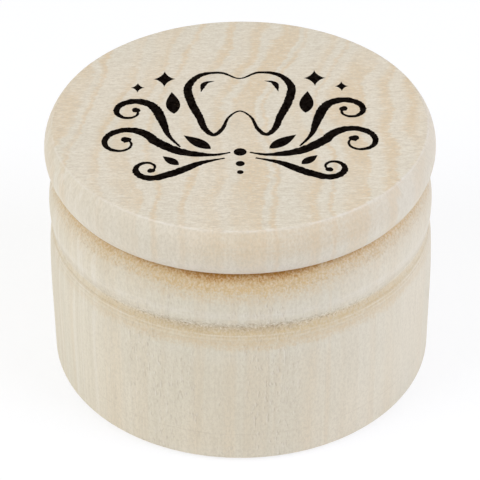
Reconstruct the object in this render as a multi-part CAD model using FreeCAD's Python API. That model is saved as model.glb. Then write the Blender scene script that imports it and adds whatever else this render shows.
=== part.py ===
import FreeCAD, Part
import math
import os

# A small turned wooden box for keeping milk teeth: a thick cup with a rounded bead at its mouth, and
# a disc lid whose plug pushes into the cup. Millimetres, +Z up, origin at the middle of the base.

# Outside of the cup: a straight barrel that rounds in to a narrow groove, with the bead above it
barrel_diameter = 50.0
body_height = 29.0
base_edge_radius = 1.2
shoulder_height = 9.6
groove_depth = 0.8
groove_floor_width = 1.3
groove_below_mouth = 7.9
bead_fullest_below_mouth = 4.8
bead_set_in = 0.4
bead_top_depth = 2.9

# Inside of the cup: the bored chamber
wall_thickness = 6.0
floor_thickness = 6.0
floor_corner_radius = 1.5
mouth_chamfer = 0.5

# Lid disc, fullest near the middle of its rounded edge
lid_thickness = 6.4
lid_set_in = 0.25
lid_fullest_height = 3.1
lid_under_set_in = 1.1
lid_top_set_in = 1.15
lid_top_edge_radius = 0.5

# Plug under the lid
plug_length = 5.0
plug_clearance = 0.1
plug_lead_in = 0.6

# Share of each half axis at which a Bezier curve's inner poles follow a quarter of an ellipse
ELLIPSE_POLE = 0.5523

barrel_radius = barrel_diameter / 2
bore_radius = barrel_radius - wall_thickness
bead_radius = barrel_radius - bead_set_in
groove_radius = barrel_radius - groove_depth
neck_radius = bead_radius - bead_top_depth
groove_level = body_height - groove_below_mouth
bead_level = body_height - bead_fullest_below_mouth
groove_bottom = groove_level - groove_floor_width / 2
groove_top = groove_level + groove_floor_width / 2
shoulder_level = groove_bottom - shoulder_height


def at(radius, height):
    """A point of a turned profile."""
    return FreeCAD.Vector(radius, 0, height)


def line(start, end):
    return Part.LineSegment(start, end).toShape()


def corner_arc(start, end, centre, radius):
    """A small round from start to end, bulging away from its centre."""
    outward = (start + end) * 0.5 - centre
    outward.normalize()
    return Part.Arc(start, centre + outward * radius, end).toShape()


def swell(fullest, valley):
    """A quarter of an ellipse: upright at the fullest point of a swell, level where it meets the valley."""
    curve = Part.BezierCurve()
    curve.setPoles([
        fullest,
        at(fullest.x, fullest.z + ELLIPSE_POLE * (valley.z - fullest.z)),
        at(valley.x + ELLIPSE_POLE * (fullest.x - valley.x), valley.z),
        valley,
    ])
    return curve.toShape()


def turned(edges):
    """The solid that a closed half profile sweeps about the Z axis."""
    profile = Part.Face(Part.Wire(edges))
    return profile.revolve(FreeCAD.Vector(0, 0, 0), FreeCAD.Vector(0, 0, 1), 360)


def cup():
    """Barrel, groove and bead outside, bored chamber inside, as one turned piece."""
    base_middle = at(0, 0)
    base_edge = at(barrel_radius - base_edge_radius, 0)
    barrel_foot = at(barrel_radius, base_edge_radius)
    barrel_top = at(barrel_radius, shoulder_level)
    groove_low = at(groove_radius, groove_bottom)
    groove_high = at(groove_radius, groove_top)
    bead_fullest = at(bead_radius, bead_level)
    mouth_outer = at(neck_radius, body_height)
    mouth_inner = at(bore_radius + mouth_chamfer, body_height)
    bore_top = at(bore_radius, body_height - mouth_chamfer)
    bore_foot = at(bore_radius, floor_thickness + floor_corner_radius)
    floor_edge = at(bore_radius - floor_corner_radius, floor_thickness)
    floor_middle = at(0, floor_thickness)
    base_corner = at(barrel_radius - base_edge_radius, base_edge_radius)
    floor_corner = at(bore_radius - floor_corner_radius, floor_thickness + floor_corner_radius)
    return turned([
        line(base_middle, base_edge),
        corner_arc(base_edge, barrel_foot, base_corner, base_edge_radius),
        line(barrel_foot, barrel_top),
        swell(barrel_top, groove_low),
        line(groove_low, groove_high),
        swell(bead_fullest, groove_high),
        swell(bead_fullest, mouth_outer),
        line(mouth_outer, mouth_inner),
        line(mouth_inner, bore_top),
        line(bore_top, bore_foot),
        corner_arc(bore_foot, floor_edge, floor_corner, floor_corner_radius),
        line(floor_edge, floor_middle),
        line(floor_middle, base_middle),
    ])


def lid_with_plug():
    """Disc with a rounded side, resting on the mouth, and the plug below it.

    The small round of the top edge touches the side from inside and the flat top from below.
    """
    lid_radius = barrel_radius - lid_set_in
    plug_radius = bore_radius - plug_clearance
    plug_bottom = body_height - plug_length
    lid_top = body_height + lid_thickness
    plug_middle = at(0, plug_bottom)
    plug_edge = at(plug_radius - plug_lead_in, plug_bottom)
    plug_side = at(plug_radius, plug_bottom + plug_lead_in)
    plug_root = at(plug_radius, body_height)
    under_edge = at(lid_radius - lid_under_set_in, body_height)
    fullest = at(lid_radius, body_height + lid_fullest_height)
    top_edge = at(lid_radius - lid_top_set_in, lid_top)
    top_middle = at(0, lid_top)
    side = Part.Arc(under_edge, fullest, top_edge).toShape().Curve
    corner_level = lid_top - lid_top_edge_radius
    corner_reach = side.Radius - lid_top_edge_radius
    corner_rise = corner_level - side.Center.z
    corner = at(side.Center.x + math.sqrt(corner_reach**2 - corner_rise**2), corner_level)
    side_top = side.Center + (corner - side.Center) * (side.Radius / corner_reach)
    flat_edge = at(corner.x, lid_top)
    return turned([
        line(plug_middle, plug_edge),
        line(plug_edge, plug_side),
        line(plug_side, plug_root),
        line(plug_root, under_edge),
        Part.Arc(under_edge, fullest, side_top).toShape(),
        corner_arc(side_top, flat_edge, corner, lid_top_edge_radius),
        line(flat_edge, top_middle),
        line(top_middle, plug_middle),
    ])


os.makedirs("parts", exist_ok=True)
for name, solid in (("box_body", cup()), ("lid", lid_with_plug())):
    solid.exportStep("parts/" + name + ".step")
    print(name, solid.ShapeType, solid.isValid(), round(solid.Volume, 1), solid.BoundBox)
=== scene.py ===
import math
import bpy
from mathutils import Matrix, Vector, noise


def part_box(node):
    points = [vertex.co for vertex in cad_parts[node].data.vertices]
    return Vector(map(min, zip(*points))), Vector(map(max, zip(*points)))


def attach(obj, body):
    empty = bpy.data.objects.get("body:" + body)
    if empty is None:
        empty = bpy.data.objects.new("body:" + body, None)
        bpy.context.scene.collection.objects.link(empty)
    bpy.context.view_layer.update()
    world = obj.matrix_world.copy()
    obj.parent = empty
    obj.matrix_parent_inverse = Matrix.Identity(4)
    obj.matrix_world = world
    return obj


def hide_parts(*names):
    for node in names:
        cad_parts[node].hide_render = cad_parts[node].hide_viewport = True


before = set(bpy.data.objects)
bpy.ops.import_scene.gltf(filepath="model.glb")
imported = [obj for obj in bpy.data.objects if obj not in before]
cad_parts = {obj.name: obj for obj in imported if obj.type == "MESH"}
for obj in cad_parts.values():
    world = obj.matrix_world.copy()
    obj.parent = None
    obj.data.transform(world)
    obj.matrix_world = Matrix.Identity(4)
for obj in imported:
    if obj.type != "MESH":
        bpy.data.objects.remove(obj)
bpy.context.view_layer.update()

# The cup
# One piece of pale, close-grained hardwood, turned with its grain upright. A straight barrel rounds in to a
# narrow groove, a bead swells above it, and the chamber is bored from the mouth. It is sanded and left raw.
MM = 0.001
_, cup_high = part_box("box_body")
barrel_radius = cup_high[0] / MM
body_height = cup_high[2] / MM
base_edge_radius = 1.2
shoulder_height = 9.6
groove_depth = 0.8
groove_floor_width = 1.3
groove_hollow = 0.2
groove_below_mouth = 7.9
bead_fullest_below_mouth = 4.8
bead_set_in = 0.4
bead_top_depth = 2.9
wall_thickness = 6.0
floor_level = 6.0
floor_corner_radius = 1.5
mouth_chamfer = 0.5
groove_radius = barrel_radius - groove_depth
groove_level = body_height - groove_below_mouth
groove_bottom = groove_level - groove_floor_width / 2
groove_top = groove_level + groove_floor_width / 2
shoulder_level = groove_bottom - shoulder_height
bead_radius = barrel_radius - bead_set_in
bead_level = body_height - bead_fullest_below_mouth
neck_radius = bead_radius - bead_top_depth
bore_radius = barrel_radius - wall_thickness


def at(radius, height):
    """A point of a turned outline, in millimetres."""
    return Vector((radius, height))


def straight(start, end, steps):
    """A straight cut, without its end point."""
    return [start.lerp(end, i / steps) for i in range(steps)]


def swell(fullest, valley, steps):
    """A quarter of an ellipse from the upright fullest point to the level valley, without its end point."""
    width, height = fullest.x - valley.x, valley.y - fullest.y
    angles = [math.pi / 2 * i / steps for i in range(steps)]
    return [at(valley.x + width * math.cos(a), fullest.y + height * math.sin(a)) for a in angles]


def rise(valley, fullest, steps):
    """The same quarter cut upwards, from the valley to the fullest point, without its end point."""
    return [fullest, *swell(fullest, valley, steps)[1:], valley][:0:-1]


def hollow(low, high, depth, steps):
    """A shallow hollow cut between two points of one radius, without its end point."""
    shares = [i / steps for i in range(steps)]
    return [low.lerp(high, s) - at(depth * math.sin(math.pi * s), 0) for s in shares]


def round_edge(centre, radius, start, end, steps):
    """An arc about a centre from one angle to another, in degrees, without its end point."""
    angles = [math.radians(start + (end - start) * i / steps) for i in range(steps)]
    return [centre + radius * Vector((math.cos(a), math.sin(a))) for a in angles]


def tool_marks(points, depth, pitch):
    """The same cut with the fine uneven furrows that a turning tool leaves, fading out at both ends."""
    slow_height = 0.6
    slow_length = 2.7
    marked = [points[0]]
    travelled = 0.0
    for i in range(1, len(points) - 1):
        travelled += (points[i] - points[i - 1]).length
        along = (points[i + 1] - points[i - 1]).normalized()
        fade = math.sin(math.pi * i / (len(points) - 1)) ** 0.5
        turns = 2 * math.pi * travelled / pitch
        wave = math.sin(turns) + slow_height * math.sin(turns / slow_length)
        inward = Vector((-along.y, along.x))
        marked.append(points[i] + inward * depth * fade * (1 + slow_height + wave))
    return [*marked, points[-1]]


def turn(name, outline, facets=152):
    """A closed mesh swept about the Z axis from an outline that starts and ends on that axis."""
    rings = outline[1:-1]
    corners = [(0, 0, outline[0].y * MM)]
    for point in rings:
        for k in range(facets):
            a = 2 * math.pi * k / facets
            corners.append((point.x * math.cos(a) * MM, point.x * math.sin(a) * MM, point.y * MM))
    corners.append((0, 0, outline[-1].y * MM))
    last = len(corners) - 1
    top_ring = 1 + (len(rings) - 1) * facets
    faces = []
    for k in range(facets):
        after = (k + 1) % facets
        faces.append((0, 1 + after, 1 + k))
        faces.append((last, top_ring + k, top_ring + after))
        for j in range(len(rings) - 1):
            low, high = 1 + j * facets, 1 + (j + 1) * facets
            faces.append((low + k, low + after, high + after, high + k))
    mesh = bpy.data.meshes.new(name)
    mesh.from_pydata(corners, [], faces)
    mesh.shade_smooth()
    piece = bpy.data.objects.new(name, mesh)
    bpy.context.scene.collection.objects.link(piece)
    return piece


def node(tree, kind, inputs, **settings):
    """A shader node. Inputs give each socket, by name or number, a value or the output that feeds it."""
    made = tree.nodes.new("ShaderNode" + kind)
    for setting, value in settings.items():
        setattr(made, setting, value)
    for socket, value in inputs.items():
        if isinstance(value, bpy.types.NodeSocket):
            tree.links.new(value, made.inputs[socket])
        else:
            made.inputs[socket].default_value = value
    return made.outputs


def combined(tree, operation, first, *others):
    """The first value with each of the others added, multiplied or the like, in turn."""
    for other in others:
        first = node(tree, "Math", {0: first, 1: other}, operation=operation)[0]
    return first


def times(tree, *values):
    """All the values multiplied."""
    return combined(tree, "MULTIPLY", *values)


def plus(tree, *values):
    """All the values added."""
    return combined(tree, "ADD", *values)


def ramp(tree, value, low, high, out_low=0.0, out_high=1.0):
    """A smooth step from out_low to out_high while the value goes from low to high."""
    sockets = {0: value, 1: low, 2: high, 3: out_low, 4: out_high}
    return node(tree, "MapRange", sockets, interpolation_type="SMOOTHSTEP")[0]


def stretch_of(tree, value, start, full, hold, end):
    """1 from full to hold, falling smoothly to 0 at start and at end."""
    return times(tree, ramp(tree, value, start, full), ramp(tree, value, hold, end, 1.0, 0.0))


def mottle(tree, place, per_mm, detail=2.0, roughness=0.5):
    """Even noise with its own number of features per millimetre along X, Y and Z."""
    stretched = node(tree, "VectorMath", {0: place, 1: per_mm}, operation="MULTIPLY")[0]
    sockets = {"Vector": stretched, "Scale": 1.0, "Detail": detail, "Roughness": roughness}
    return node(tree, "TexNoise", sockets)[0]


def mixed(tree, amount, first, second):
    """Two colours mixed by an amount from 0 to 1."""
    return node(tree, "Mix", {0: amount, 6: first, 7: second}, data_type="RGBA")[2]


def growth_rings(tree, grown, flat):
    """Tan late wood about a far pith, each ring growing darker to one sharp side, from 0 to 1."""
    pith = (128.0, -12.0, 0.0)
    ring_spacing = 3.3
    wide_bend = 11.0
    fine_bend = 1.5
    changes_per_ring = 0.9
    change_of_width = 1.3
    from_pith = node(tree, "VectorMath", {0: flat, 1: pith}, operation="DISTANCE")[1]
    bend = times(tree, mottle(tree, grown, (0.06, 0.05, 0.008)), wide_bend)
    ragged = times(tree, mottle(tree, grown, (0.45, 1.9, 0.01), detail=3.0, roughness=0.6), fine_bend)
    age = combined(tree, "DIVIDE", plus(tree, from_pith, bend, ragged), ring_spacing)
    sockets = {"W": times(tree, age, changes_per_ring), "Scale": 1.0, "Detail": 1.0}
    uneven = node(tree, "TexNoise", sockets, noise_dimensions="1D")[0]
    shifted = plus(tree, age, times(tree, uneven, change_of_width))
    phase = node(tree, "Math", {0: shifted}, operation="FRACT")[0]
    late = stretch_of(tree, phase, 0.0, 0.20, 0.26, 0.70)
    patch = mottle(tree, grown, (0.16, 0.09, 0.02))
    return times(tree, late, ramp(tree, patch, 0.34, 0.62, 0.28, 0.77))


def facing(tree, flat, radius, bearing):
    """Cosine of the way round from a bearing, in degrees right of straight ahead, but 0.3 at least."""
    ahead = (math.sin(math.radians(bearing)), -math.cos(math.radians(bearing)), 0)
    towards = node(tree, "VectorMath", {0: flat, 1: ahead}, operation="DOT_PRODUCT")[1]
    return combined(tree, "MAXIMUM", combined(tree, "DIVIDE", towards, radius), 0.3)


# A pale wood colour, also used for painted highlights and for painted light bounced from the table.
pale_and_highlight = (0.83, 0.78, 0.68, 1)


def turned_wood(name, pale_wood, seed, side_rings, pitting, stains_and_shade, torn_and_shade, turned_lines):
    """Raw turned hardwood with upright grain.

    Growth rings show as tan bands on end grain, where fine threads cross them, and side_rings is the share
    of them that shows on the sides. Fibres and pores run upright, and pitting is how strongly open pores
    mark the front.

    Each entry of stains is a layer of colour in the wood, of painted shade or of painted bounced light:
    (stretch of the outside's height, spread round the piece, strength, colour). A spread is a bearing, the
    cosines from it at which the layer starts and is full, and the share left elsewhere. Each entry of torn
    gives a place where the tool lifted the fibres, (stretch of height, spread, strength); in the groove
    their dark flecks also paint shade. Each turned line is a broken pale or dark mark round the piece: a
    rubbed edge, a tool line, or a painted highlight or shade along a ledge or furrow: (point of the outline,
    reach, strength, colour).
    """
    material = bpy.data.materials.new(name)
    material.use_nodes = True
    tree = material.node_tree
    shader = tree.nodes["Principled BSDF"]
    own = node(tree, "TexCoord", {})
    place = node(tree, "VectorMath", {0: own["Object"], 3: 1 / MM}, operation="SCALE")[0]
    height = node(tree, "SeparateXYZ", {0: place})[2]
    flat = node(tree, "VectorMath", {0: place, 1: (1, 1, 0)}, operation="MULTIPLY")[0]
    radius = node(tree, "VectorMath", {0: flat}, operation="LENGTH")[1]
    upward = node(tree, "SeparateXYZ", {0: own["Normal"]})[2]
    end_grain = ramp(tree, node(tree, "Math", {0: upward}, operation="ABSOLUTE")[0], 0.45, 0.95)
    grown = node(tree, "VectorMath", {0: place, 1: seed}, operation="ADD")[0]

    # What the wood is made of, and the lathe's own fine lines
    pore_spacing = (4.4, 4.4, 1.0)
    lip_width = 0.15
    thread = mottle(tree, grown, (0.9, 3.1, 0.5), detail=3.0, roughness=0.75)
    fleck = mottle(tree, grown, (2.0, 5.0, 0.5), detail=2.0, roughness=0.6)
    fibre = mottle(tree, grown, (3.0, 3.0, 0.11), detail=3.0, roughness=0.7)
    pore = ramp(tree, mottle(tree, grown, pore_spacing, detail=1.0), 0.60, 0.70)
    beside = node(tree, "VectorMath", {0: grown, 1: (lip_width, 0, 0)}, operation="ADD")[0]
    pore_lip = ramp(tree, mottle(tree, beside, pore_spacing, detail=1.0), 0.60, 0.70)
    streak = mottle(tree, grown, (1.3, 1.3, 0.012), detail=2.0, roughness=0.6)
    grit = mottle(tree, grown, (4.0, 4.0, 3.4), detail=2.0, roughness=0.6)
    speckle = mottle(tree, grown, (3.6, 3.6, 2.1), detail=3.0, roughness=0.7)
    across = plus(tree, height, radius)
    lathe = node(tree, "TexNoise", {"W": across, "Scale": 2.8, "Detail": 2.0}, noise_dimensions="1D")[0]
    cloud = mottle(tree, grown, (0.07, 0.07, 0.03))
    wander = mottle(tree, grown, (0.20, 0.20, 0.04))
    band = growth_rings(tree, grown, flat)
    band = times(tree, band, ramp(tree, end_grain, 0.0, 1.0, side_rings, 1.0))
    band = times(tree, band, ramp(tree, thread, 0.34, 0.62, 0.75, 1.0))

    # Bare wood: rings, fibres and specks, then threads and flecks on end grain, then streaks on the left
    red, green, blue, _ = pale_wood
    grey_wood = (0.958 * red, 0.979 * green, 0.991 * blue, 1)
    tan_wood = (0.715, 0.520, 0.292, 1)
    thread_shade = (0.600, 0.520, 0.400, 1)
    fibre_shade = (0.600, 0.530, 0.395, 1)
    colour = mixed(tree, ramp(tree, cloud, 0.35, 0.65), pale_wood, grey_wood)
    colour = mixed(tree, band, colour, tan_wood)
    fibrous = ramp(tree, facing(tree, flat, radius, 70), 0.5, 0.95, 0.30, 0.16)
    colour = mixed(tree, ramp(tree, fibre, 0.36, 0.70, 0.0, fibrous), colour, fibre_shade)
    coarse = ramp(tree, facing(tree, flat, radius, -5), 0.55, 0.95, 0.36, 0.49)
    speckled = times(tree, coarse, ramp(tree, end_grain, 0.0, 1.0, 1.0, 0.95))
    colour = mixed(tree, ramp(tree, speckle, 0.40, 0.66, 0.0, speckled), colour, fibre_shade)
    dark_thread = times(tree, ramp(tree, thread, 0.44, 0.68, 0.0, 0.52), end_grain)
    pale_thread = times(tree, ramp(tree, thread, 0.48, 0.30, 0.0, 0.34), end_grain)
    dark_fleck = times(tree, ramp(tree, fleck, 0.52, 0.70, 0.0, 0.40), end_grain)
    pale_fleck = times(tree, ramp(tree, fleck, 0.46, 0.30, 0.0, 0.30), end_grain)
    colour = mixed(tree, plus(tree, dark_thread, dark_fleck), colour, thread_shade)
    colour = mixed(tree, plus(tree, pale_thread, pale_fleck), colour, pale_and_highlight)
    flat_sawn = times(tree, ramp(tree, facing(tree, flat, radius, -90), 0.45, 0.90),
                      ramp(tree, end_grain, 0.0, 0.5, 1.0, 0.0))
    pale_streak = times(tree, ramp(tree, streak, 0.52, 0.66, 0.0, 0.34), flat_sawn)
    dark_streak = times(tree, ramp(tree, streak, 0.48, 0.34, 0.0, 0.19), flat_sawn)
    colour = mixed(tree, pale_streak, colour, pale_and_highlight)
    colour = mixed(tree, dark_streak, colour, fibre_shade)

    # Open pores, each with a lit lip
    pore_brown = (0.46, 0.37, 0.25, 1)
    pitted = times(tree, ramp(tree, wander, 0.42, 0.60, 0.1, 1.0),
                   ramp(tree, facing(tree, flat, radius, -12), 0.78, 0.96, 0.1, 1.0), pitting)
    open_pore = times(tree, pore, pitted)
    colour = mixed(tree, times(tree, pore_lip, pitted), colour, pale_and_highlight)
    colour = mixed(tree, open_pore, colour, pore_brown)

    # Stains, painted shade and painted bounced light, which end inside the mouth, sink into grit and lathe
    # lines, and sag beside their bearing
    sag = 0.6
    stained_from = bore_radius + 0.8
    stained_fully = bore_radius + 2.4
    outside = ramp(tree, radius, stained_from, stained_fully)
    outside = times(tree, outside, ramp(tree, grit, 0.34, 0.62, 0.50, 1.0))
    outside = times(tree, outside, ramp(tree, lathe, 0.36, 0.56, 0.75, 1.0))
    blotch = mottle(tree, grown, (1.2, 1.2, 1.0), detail=2.0, roughness=0.6)
    uneven = plus(tree, times(tree, wander, 1.2), times(tree, grit, 1.5), times(tree, fibre, 0.8),
                  times(tree, blotch, 1.1), -2.3)
    for (low, full_low, full_high, high), (bearing, start, full, left_behind), strength, layer_colour in stains_and_shade:
        front = facing(tree, flat, radius, bearing)
        soaked = plus(tree, height, uneven, times(tree, front, sag), -sag)
        foot = ramp(tree, soaked, low, full_low)
        head = ramp(tree, height, full_high, high, 1.0, 0.0)
        around = ramp(tree, front, start, full, left_behind, 1.0)
        colour = mixed(tree, times(tree, foot, head, around, outside, strength), colour, layer_colour)

    # Turned lines: rubbed edges, tool lines, and painted highlights and shade along ledges and furrows
    here = node(tree, "CombineXYZ", {0: radius, 2: height})[0]
    broken = mottle(tree, grown, (0.5, 0.5, 4.0), detail=4.0, roughness=0.7)
    lasting = ramp(tree, broken, 0.38, 0.56, 0.1, 1.0)
    for point, reach, strength, mark in turned_lines:
        away = node(tree, "VectorMath", {0: here, 1: (point.x, 0, point.y)}, operation="DISTANCE")[1]
        marked = times(tree, ramp(tree, away, 0.2 * reach, reach, strength, 0.0), lasting)
        colour = mixed(tree, marked, colour, mark)

    # Torn fibres, dark in their gaps and pale at their tips; in the groove the dark flecks also paint shade
    torn_brown_and_shade = (0.41, 0.30, 0.18, 1)
    torn_pale = (0.82, 0.745, 0.61, 1)
    fray = 1.6
    ragged = 0.0
    for stretch, (bearing, start, full, left_behind), strength in torn_and_shade:
        rough = stretch_of(tree, plus(tree, height, times(tree, speckle, fray), -fray / 2), *stretch)
        spread = ramp(tree, facing(tree, flat, radius, bearing), start, full, left_behind, 1.0)
        ragged = plus(tree, ragged, times(tree, rough, spread, outside, strength))
    lifted = mottle(tree, grown, (3.0, 3.0, 3.4), detail=2.0, roughness=0.7)
    dark_fibre_and_shade = times(tree, ragged, ramp(tree, lifted, 0.48, 0.66, 0.0, 0.55))
    pale_fibre = times(tree, ragged, ramp(tree, lifted, 0.45, 0.34, 0.0, 0.65))
    colour = mixed(tree, dark_fibre_and_shade, colour, torn_brown_and_shade)
    colour = mixed(tree, pale_fibre, colour, torn_pale)
    tree.links.new(colour, shader.inputs["Base Color"])

    # A dry surface, and the relief of fibres, threads, pores and torn places
    relief_depth = 0.04
    tree.links.new(ramp(tree, fibre, 0.3, 0.7, 0.52, 0.66), shader.inputs["Roughness"])
    shader.inputs["Specular IOR Level"].default_value = 0.32
    relief = plus(tree, fibre, times(tree, thread, end_grain, 0.8), times(tree, open_pore, -5.0))
    relief = plus(tree, relief, times(tree, lifted, ragged, 1.6))
    bump = node(tree, "Bump", {"Strength": 0.5, "Distance": relief_depth * MM, "Height": relief})[0]
    tree.links.new(bump, shader.inputs["Normal"])
    return material


base_edge = at(barrel_radius - base_edge_radius, 0)
base_centre = at(barrel_radius - base_edge_radius, base_edge_radius)
barrel_foot = at(barrel_radius, base_edge_radius)
barrel_top = at(barrel_radius, shoulder_level)
groove_low = at(groove_radius + groove_hollow, groove_bottom)
groove_high = at(groove_radius + groove_hollow, groove_top)
bead_fullest = at(bead_radius, bead_level)
mouth_outer = at(neck_radius, body_height)
mouth_inner = at(bore_radius + mouth_chamfer, body_height)
bore_top = at(bore_radius, body_height - mouth_chamfer)
bore_foot = at(bore_radius, floor_level + floor_corner_radius)
floor_centre = at(bore_radius - floor_corner_radius, floor_level + floor_corner_radius)
floor_edge = at(bore_radius - floor_corner_radius, floor_level)
shoulder_steps = 120
shoulder = swell(barrel_top, groove_low, shoulder_steps)
cup = turn("turned_cup", [
    *tool_marks(straight(at(0, 0), base_edge, 90), 0.008, 1.1),
    *round_edge(base_centre, base_edge_radius, -90, 0, 8),
    *tool_marks(straight(barrel_foot, barrel_top, 60), 0.003, 1.3),
    *tool_marks(shoulder, 0.008, 0.5),
    *tool_marks(hollow(groove_low, groove_high, groove_hollow, 26), 0.006, 0.40),
    *tool_marks(rise(groove_high, bead_fullest, 48), 0.004, 0.45),
    *tool_marks(swell(bead_fullest, mouth_outer, 48), 0.004, 0.5),
    *straight(mouth_outer, mouth_inner, 8),
    *straight(mouth_inner, bore_top, 3),
    *tool_marks(straight(bore_top, bore_foot, 110), 0.006, 0.9),
    *round_edge(floor_centre, floor_corner_radius, 0, -90, 8),
    *tool_marks(straight(floor_edge, at(0, floor_level), 100), 0.012, 0.8),
    at(0, floor_level),
])
honey = (0.66, 0.455, 0.20, 1)
golden = (0.64, 0.437, 0.188, 1)
straw = (0.650, 0.475, 0.20, 1)
# A deep brown, partly colour in the wood and partly painted shade under the lid's edge.
brown_stain_and_shade = (0.44, 0.19, 0.022, 1)
# A dull brown for painted shade in the groove and for dark turned lines.
shade_and_line_brown = (0.40, 0.31, 0.20, 1)
clean_seat = (body_height - 0.5, body_height - 0.05)
level_round = (0, 0.8, 1.0, 1.0)
front_half = (0, 0.6, 0.85, 0.75)
all_round = (0, 0.84, 1.0, 0.34)
half_round = (3, 0.66, 0.97, 0.25)
front_only = (0, 0.93, 1.0, 0.15)
wide_front = (8, 0.3, 1.0, 0.3)
near_front = (-4, 0.88, 0.99, 0.0)
both_sides = (0, 0.95, 0.65, 0.0)
groove_front = (-2, 0.60, 0.97, 0.2)
barrel_front = (0, 0.80, 1.0, 0.0)
# Golden and brown colour in the wood below the lid's edge, partly painted shade: the brown nearest the edge,
# strongest at the front, also paints the shade of the lid's overhang and the warm light bounced in it.
under_lid = [
    ((body_height - 2.8, body_height - 0.9, *clean_seat), front_half, 0.8, honey),
    ((body_height - 4.8, body_height - 1.7, *clean_seat), all_round, 0.75, golden),
    ((body_height - 3.0, body_height - 1.0, *clean_seat), all_round, 0.45, golden),
    ((body_height - 1.9, body_height - 0.1, *clean_seat), front_only, 0.85, brown_stain_and_shade),
    ((body_height - 1.1, body_height - 0.4, *clean_seat), half_round, 0.8, brown_stain_and_shade),
]
groove_roof = (groove_level - 0.2, groove_level + 0.5)
in_groove = [
    ((groove_level - 3.4, groove_level - 2.2, *groove_roof), wide_front, 0.45, golden),
    ((groove_level - 2.0, groove_level - 0.6, *groove_roof), wide_front, 0.34, straw),
    # Painted shade: dull brown under the bead's overhang at the front, and a faint band on its underside
    # elsewhere.
    ((groove_level - 1.2, groove_level, groove_level + 0.1, groove_level + 1.4), near_front, 0.30, shade_and_line_brown),
    ((groove_level, groove_level + 0.7, groove_level + 0.9, groove_level + 2.2), both_sides, 0.20, shade_and_line_brown),
]
# Torn grain on the bead's top and in the groove, where its dark flecks also paint the shade under the bead.
torn_and_shaded_groove = (groove_level - 0.4, groove_level, groove_level + 0.6, groove_level + 1.3)
torn_bead = (body_height - 3.2, body_height - 1.8, body_height - 1.0, body_height - 0.3)
torn_grain_and_shade = [(torn_and_shaded_groove, groove_front, 1.8), (torn_bead, level_round, 0.55)]
# A faint golden tint over the barrel's front.
barrel_front_tint = ((0.5, 3.0, shoulder_level + 4, shoulder_level + 7), barrel_front, 0.08, golden)


def on_shoulder(share):
    """The point that lies a share of the way up the shoulder's cut."""
    return shoulder[round(share * shoulder_steps)]


cup_lines = [
    (mouth_inner, 0.3, 0.6, pale_and_highlight),
    (base_centre + at(0.7, -0.7) * base_edge_radius, 0.3, 0.4, pale_and_highlight),
    (at(barrel_radius, 4.6), 0.16, 0.14, shade_and_line_brown),
    # Pale and dark lines in and below the groove: painted highlights and shade of the tool's furrows and
    # ledge.
    (groove_low.lerp(groove_high, 0.45), 0.10, 0.40, pale_and_highlight),
    (groove_low.lerp(groove_high, 0.20), 0.10, 0.14, shade_and_line_brown),
    (on_shoulder(0.89), 0.10, 0.10, shade_and_line_brown),
    (on_shoulder(0.84), 0.12, 0.28, pale_and_highlight),
    (on_shoulder(0.79), 0.10, 0.18, shade_and_line_brown),
    (on_shoulder(0.74), 0.12, 0.20, pale_and_highlight),
    (on_shoulder(0.70), 0.10, 0.15, shade_and_line_brown),
    # Painted light bounced from the white table: a pale band on the bead's downward-facing underside.
    (at(bead_radius - 0.2, groove_level + 2.1), 0.9, 0.25, pale_and_highlight),
]
cup_pale = (0.772, 0.696, 0.538, 1)
cup_wood = turned_wood("body_wood", cup_pale, seed=(3.0, 41.0, 0.0), side_rings=0.25, pitting=0.36,
                       stains_and_shade=[*under_lid, *in_groove, barrel_front_tint], torn_and_shade=torn_grain_and_shade,
                       turned_lines=cup_lines)
cup.data.materials.append(cup_wood)
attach(cup, "box")
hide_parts("box_body")

# The lid
# A disc of the same wood with a full, rounded edge and its top sanded flat across the end grain. The plug
# under it is turned from the same piece and pushes into the bored mouth.
lid_low, lid_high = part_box("lid")
lid_radius = lid_high[0] / MM
lid_top = lid_high[2] / MM
plug_bottom = lid_low[2] / MM
plug_clearance = 0.1
plug_lead_in = 0.6
under_set_in = 1.1
fullest_height = 3.1
top_set_in = 1.15
top_edge_radius = 0.5
ink_thickness = 0.02
plug_radius = bore_radius - plug_clearance
under_radius = lid_radius - under_set_in
fullest_level = body_height + fullest_height
rim_radius = lid_radius - top_set_in
top_level = lid_top - ink_thickness


def circle_through(a, b, c):
    """Centre of the circle through three points."""
    left, right = b - a, c - a
    cross = 2 * (left.x * right.y - left.y * right.x)
    x = (right.y * left.length_squared - left.y * right.length_squared) / cross
    y = (left.x * right.length_squared - right.x * left.length_squared) / cross
    return a + Vector((x, y))


under_edge = at(under_radius, body_height)
side_centre = circle_through(under_edge, at(lid_radius, fullest_level), at(rim_radius, top_level))
side_radius = (under_edge - side_centre).length
corner_reach = side_radius - top_edge_radius
corner_rise = top_level - top_edge_radius - side_centre.y
corner_centre = side_centre + at(math.sqrt(corner_reach ** 2 - corner_rise ** 2), corner_rise)
side_start = math.degrees(math.atan2(under_edge.y - side_centre.y, under_edge.x - side_centre.x))
side_end = math.degrees(math.atan2(corner_rise, corner_centre.x - side_centre.x))
plug_edge = at(plug_radius - plug_lead_in, plug_bottom)
plug_side = at(plug_radius, plug_bottom + plug_lead_in)
plug_root = at(plug_radius, body_height)
lid = turn("turned_lid", [
    *tool_marks(straight(at(0, plug_bottom), plug_edge, 100), 0.010, 0.9),
    *straight(plug_edge, plug_side, 3),
    *straight(plug_side, plug_root, 14),
    *straight(plug_root, under_edge, 12),
    *tool_marks(round_edge(side_centre, side_radius, side_start, side_end, 56), 0.003, 0.45),
    *round_edge(corner_centre, top_edge_radius, side_end, 90, 8),
    *straight(at(corner_centre.x, top_level), at(0, top_level), 40),
    at(0, top_level),
])
rim_levels = (fullest_level - 1.2, fullest_level + 0.8, top_level - 0.6, top_level + 0.2)
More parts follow.
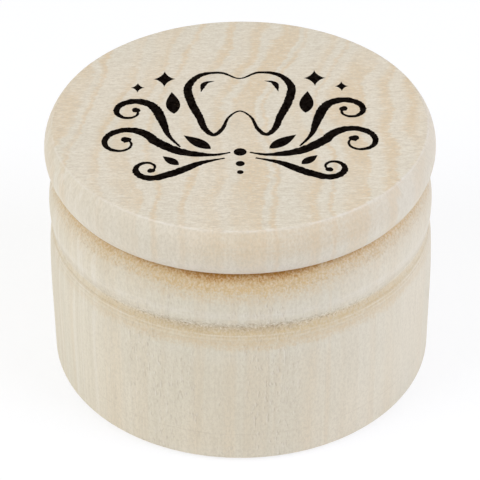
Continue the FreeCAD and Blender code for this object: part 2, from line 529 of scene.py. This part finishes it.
rim_front = (14, 0.78, 0.98, 0.08)
rim_tan = (rim_levels, rim_front, 0.30, golden)
# Painted light bounced from the white table: a cooler, greyer tone on the lid's lower side, most at the
# front.
foot_levels = (body_height - 0.6, body_height + 0.2, body_height + 1.0, body_height + 2.2)
foot_front = (0, 0.80, 0.97, 0.2)
bounce_grey = (0.70, 0.66, 0.66, 1)
painted_bounce = (foot_levels, foot_front, 0.24, bounce_grey)
# A painted highlight: a thin pale line along the rounded rim of the lid's top.
rim_highlight = (corner_centre + at(0.6, 0.8) * top_edge_radius, 0.22, 0.36, pale_and_highlight)
lid_pale = (0.777, 0.697, 0.552, 1)
lid_wood = turned_wood("lid_wood", lid_pale, seed=(0.0, 0.0, 0.0), side_rings=0.5, pitting=0.08,
                       stains_and_shade=[rim_tan, painted_bounce], torn_and_shade=[], turned_lines=[rim_highlight])
lid.data.materials.append(lid_wood)
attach(lid, "lid")
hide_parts("lid")

# The print on the lid
# Black ink pressed flat into the sanded end grain: a milk tooth over two sprays of scrolls and leaves, alike
# left and right. The strokes swell and thin as a pointed pen's do, and the grain leaves their edges rough.
hairline = 0.26
broad = 1.5
rough_share = 0.14
rough_least = 0.03
grain_across, grain_along = 1.4, 4.5
blunt_tip = 0.02
ink_top = lid_top
ink_foot = lid_top - 2 * ink_thickness
ink_corners, ink_faces = [], []


def through(points, closed=False, per_span=20):
    """A smooth line through given points, in millimetres on the lid's top."""
    knots = [Vector(p) for p in points]
    count = len(knots)
    line = []
    for i in range(count if closed else count - 1):
        around = [i - 1, i, i + 1, i + 2]
        if not closed:
            around = [min(max(k, 0), count - 1) for k in around]
        a, b, c, d = (knots[k % count] for k in around)
        for step in range(per_span):
            t = step / per_span
            line.append(0.5 * (2 * b + (c - a) * t + (2 * a - 5 * b + 4 * c - d) * t ** 2
                               + (3 * b - a - 3 * c + d) * t ** 3))
    return line if closed else [*line, knots[-1]]


def curl(centre, wide, tight, start, sweep):
    """Points of a spiral that winds in about a centre, from a start angle through a sweep in degrees."""
    steps = int(abs(sweep) / 30)
    points = []
    for i in range(steps + 1):
        reach = wide * (tight / wide) ** (i / steps)
        a = math.radians(start + sweep * i / steps)
        points.append((centre[0] + reach * math.cos(a), centre[1] + reach * math.sin(a)))
    return points


def put_down(corners, faces, sides):
    """Adds one shape to the print on the given sides: 1 as drawn, -1 mirrored."""
    for side in sides:
        first = len(ink_corners)
        ink_corners.extend((side * x * MM, y * MM, z * MM) for x, y, z in corners)
        for face in faces:
            ink_faces.append(tuple(first + i for i in (face if side == 1 else face[::-1])))


def pen_stroke(line, fullness, fullest, thinnest=hairline, ball=0.0, closed=False):
    """A stroke along a line, thin at its ends and fullest part way.

    A closed line is thin where it starts and opposite that point. An open one may end in a ball.
    """
    count = len(line)
    steps = [(line[(i + 1) % count] - line[i]).length for i in range(count if closed else count - 1)]
    length = sum(steps)
    corners, faces = [], []
    for i, spot in enumerate(line):
        travelled = sum(steps[:i])
        share = travelled / length
        if closed:
            share = 1 - abs(2 * share - 1)
        growing = share / fullest if share < fullest else (1 - share) / (1 - fullest)
        half = 0.5 * (thinnest + (broad - thinnest) * fullness * math.sin(math.pi / 2 * growing) ** 1.6)
        to_end = length - travelled
        if to_end < 2 * ball:
            bulge = math.sqrt(max(0.0, ball ** 2 - (to_end - ball) ** 2))
            half = max(half, bulge) if to_end > ball else max(blunt_tip, bulge)
        ahead = line[(i + 1) % count] if closed else line[min(i + 1, count - 1)]
        behind = line[i - 1] if closed else line[max(i - 1, 0)]
        along = (ahead - behind).normalized()
        left = Vector((-along.y, along.x))
        edges = []
        for side in (1, -1):
            edge = spot + left * side * half
            rough = noise.noise(Vector((edge.x * grain_across, edge.y * grain_along, side)))
            edges.append(edge + left * side * rough * (rough_share * half + rough_least))
        corners.extend((edge.x, edge.y, z) for z in (ink_foot, ink_top) for edge in edges)
    for i in range(len(steps)):
        a, b = 4 * i, 4 * ((i + 1) % count)
        faces.append((a + 3, b + 3, b + 2, a + 2))
        faces.append((a, b, b + 1, a + 1))
        faces.append((b, a, a + 2, b + 2))
        faces.append((a + 1, b + 1, b + 3, a + 3))
    if not closed:
        end = 4 * (count - 1)
        faces.append((0, 1, 3, 2))
        faces.append((end + 1, end, end + 2, end + 3))
    put_down(corners, faces, (1,) if closed else (1, -1))


def filled(rim, sides=(1, -1)):
    """A filled shape with the given outline, counted anticlockwise."""
    count = len(rim)
    corners = [(x, y, z) for z in (ink_foot, ink_top) for x, y in rim]
    faces = [(k, (k + 1) % count, count + (k + 1) % count, count + k) for k in range(count)]
    faces.append(tuple(range(count, 2 * count)))
    faces.append(tuple(range(count - 1, -1, -1)))
    put_down(corners, faces, sides)


def leaf(foot, tip, belly, steps=14):
    """A pointed leaf from foot to tip, whose belly is a share of its length."""
    foot, tip = Vector(foot), Vector(tip)
    length = tip - foot
    left = Vector((-length.y, length.x)) * belly
    shares = [i / steps for i in range(steps + 1)]
    right_edge = [foot + length * s - left * math.sin(math.pi * s ** 0.8) for s in shares[:-1]]
    left_edge = [foot + length * s + left * math.sin(math.pi * s ** 0.8) for s in shares[:0:-1]]
    filled([*right_edge, *left_edge])


def dot(x, y, size, sides=(1, -1), steps=28):
    """A round dot."""
    angles = [2 * math.pi * i / steps for i in range(steps)]
    filled([(x + size * math.cos(a), y + size * math.sin(a)) for a in angles], sides)


def sparkle(x, y, size, steps=32):
    """A four-pointed star with hollow sides, a little taller than wide."""
    angles = [2 * math.pi * i / steps for i in range(steps)]
    filled([(x + 0.75 * size * math.cos(a) ** 3, y + size * math.sin(a) ** 3) for a in angles])


tooth_half = [(2.4, 10.7), (5.1, 10.1), (6.6, 7.4), (6.2, 3.9), (5.1, 0.4), (4.4, -2.2), (3.3, -3.6),
              (2.2, -2.3), (1.4, 0.3)]
tooth = [(0.0, 9.3), *tooth_half, (0.0, 1.7), *[(-x, y) for x, y in tooth_half[::-1]]]
pen_stroke(through(tooth, closed=True), 0.72, 0.42, closed=True)
pen_stroke(through([(3.2, 8.75), (4.5, 8.15), (4.95, 6.2)]), 0.45, 0.5, thinnest=0.08)
main_scroll = [(1.2, -7.5), (3.6, -8.0), (7.2, -7.3), (10.2, -5.2), *curl((14.6, -5.4), 3.6, 0.8, 148, -430)]
upper_scroll = [(7.4, -6.2), (8.9, -3.6), (9.8, -0.2), *curl((13.8, 1.6), 3.2, 0.7, 165, -420)]
lower_scroll = [(1.9, -8.7), (4.8, -9.7), (7.6, -11.5), *curl((11.2, -10.7), 2.3, 0.55, -120, 400)]
pen_stroke(through(main_scroll), 0.95, 0.30, ball=0.62)
pen_stroke(through(upper_scroll), 0.85, 0.42, ball=0.55)
pen_stroke(through(lower_scroll), 0.80, 0.36, ball=0.46)
leaf((8.3, 1.2), (8.7, 6.2), 0.18)
leaf((3.6, -6.7), (7.0, -3.7), 0.18)
leaf((7.5, -10.1), (9.5, -8.2), 0.22)
sparkle(9.7, 9.3, 1.9)
sparkle(13.1, 7.3, 1.15)
for level, size in ((-7.4, 0.8), (-9.9, 0.55), (-11.7, 0.4)):
    dot(0.0, level, size, sides=(1,))
print_mesh = bpy.data.meshes.new("lid_print")
print_mesh.from_pydata(ink_corners, [], ink_faces)
lid_print = bpy.data.objects.new("lid_print", print_mesh)
bpy.context.scene.collection.objects.link(lid_print)

ink = bpy.data.materials.new("black_ink")
ink.use_nodes = True
tree = ink.node_tree
shader = tree.nodes["Principled BSDF"]
own = node(tree, "TexCoord", {})
place = node(tree, "VectorMath", {0: own["Object"], 3: 1 / MM}, operation="SCALE")[0]
bare = mottle(tree, place, (1.2, 4.5, 1.0), detail=3.0, roughness=0.7)
starved = ramp(tree, bare, 0.58, 0.76, 0.0, 0.6)
soaked = mottle(tree, place, (2.4, 2.4, 1.0), detail=3.0, roughness=0.7)
deep_black = (0.0016, 0.0007, 0.0004, 1)
thin_black = (0.0105, 0.0078, 0.0062, 1)
bare_brown = (0.060, 0.038, 0.020, 1)
colour = mixed(tree, ramp(tree, soaked, 0.34, 0.66), deep_black, thin_black)
tree.links.new(mixed(tree, starved, colour, bare_brown), shader.inputs["Base Color"])
tree.links.new(ramp(tree, starved, 0.0, 0.6, 0.6, 0.8), shader.inputs["Roughness"])
shader.inputs["Specular IOR Level"].default_value = 0.0
bump = node(tree, "Bump", {"Strength": 0.4, "Distance": 0.02 * MM, "Height": soaked})[0]
tree.links.new(bump, shader.inputs["Normal"])
print_mesh.materials.append(ink)
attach(lid_print, "lid")

# The floor and the light
# A white table that runs out of the picture and glows a little, with soft light from both sides and from
# above. The camera sees it mostly as plain white, so the box's shadow stays faint. Sizes are in metres.
reach = 3.0
pure_white = (1, 1, 1, 1)
table_white = (0.92, 0.92, 0.92, 1)
table_glow = 0.14
room_light = 0.305
floor_mesh = bpy.data.meshes.new("floor")
floor_corners = [(-reach, -reach, 0), (reach, -reach, 0), (reach, reach, 0), (-reach, reach, 0)]
floor_mesh.from_pydata(floor_corners, [], [(0, 1, 2, 3)])
floor = bpy.data.objects.new("floor", floor_mesh)
bpy.context.scene.collection.objects.link(floor)
floor_paint = bpy.data.materials.new("floor_white")
floor_paint.use_nodes = True
tree = floor_paint.node_tree
shader = tree.nodes["Principled BSDF"]
shader.inputs["Base Color"].default_value = table_white
shader.inputs["Roughness"].default_value = 0.9
shader.inputs["Specular IOR Level"].default_value = 0.0
shader.inputs["Emission Color"].default_value = pure_white
shader.inputs["Emission Strength"].default_value = table_glow


def seen_white(tree, share):
    """The share of plain white that a surface shows to the camera and in gloss and glass."""
    light_path = node(tree, "LightPath", {})
    seen = [light_path[ray] for ray in ("Is Camera Ray", "Is Glossy Ray", "Is Transmission Ray")]
    return times(tree, combined(tree, "MAXIMUM", *seen), share)


white = node(tree, "Emission", {"Color": pure_white, "Strength": 1.0})[0]
away = node(tree, "VectorMath", {0: node(tree, "TexCoord", {})["Object"]}, operation="LENGTH")[1]
whiteness = ramp(tree, away, 0.10, 0.45, 0.7, 1.0)
blend = node(tree, "MixShader", {0: seen_white(tree, whiteness), 1: shader.outputs[0], 2: white})[0]
tree.links.new(blend, tree.nodes["Material Output"].inputs["Surface"])
floor_mesh.materials.append(floor_paint)

world = bpy.data.worlds.new("studio")
bpy.context.scene.world = world
world.use_nodes = True
tree = world.node_tree
room = tree.nodes["Background"]
room.inputs["Color"].default_value = pure_white
room.inputs["Strength"].default_value = room_light
backdrop = node(tree, "Background", {"Color": pure_white, "Strength": 1.0})[0]
blend = node(tree, "MixShader", {0: seen_white(tree, 1.0), 1: room.outputs[0], 2: backdrop})[0]
tree.links.new(blend, tree.nodes["World Output"].inputs["Surface"])

middle = Vector((0, 0, lid_top / 2 * MM))
for name, place, size, power, tint in (
    ("left_softbox", (-0.505, -0.23, 0.435), 0.45, 2.25, (0.97, 1.0, 1.11)),
    ("right_softbox", (0.505, -0.21, 0.435), 0.45, 2.20, (0.94, 1.0, 1.28)),
    ("overhead_softbox", (0.0, 0.10, 0.70), 0.50, 1.00, (1.04, 1.0, 0.80)),
):
    lamp = bpy.data.lights.new(name, "AREA")
    lamp.size = size
    lamp.energy = power
    lamp.color = tint
    softbox = bpy.data.objects.new(name, lamp)
    softbox.location = place
    softbox.rotation_euler = (middle - Vector(place)).to_track_quat("-Z", "Y").to_euler()
    bpy.context.scene.collection.objects.link(softbox)

# The camera
# A long lens held in front of the box and above it, level to within half a degree. The focal length is in
# pixels of the picture, and the place is in millimetres from the middle of the box's base.
picture_width = 480
focal_pixels = 2108.7
view_elevation = 36.99
view_roll = -0.43
view_place = (-0.097, -220.98, 182.72)
lens = bpy.data.cameras.new("camera")
lens.sensor_width = 36.0
lens.lens = focal_pixels * lens.sensor_width / picture_width
lens.clip_start = 0.01
lens.clip_end = 10.0
camera = bpy.data.objects.new("camera", lens)
tilt = Matrix.Rotation(math.radians(90 - view_elevation), 4, "X")
roll = Matrix.Rotation(math.radians(view_roll), 4, "Z")
camera.matrix_world = Matrix.Translation(Vector(view_place) * MM) @ tilt @ roll
bpy.context.scene.collection.objects.link(camera)
bpy.context.scene.camera = camera
bpy.context.scene.view_settings.view_transform = "Standard"
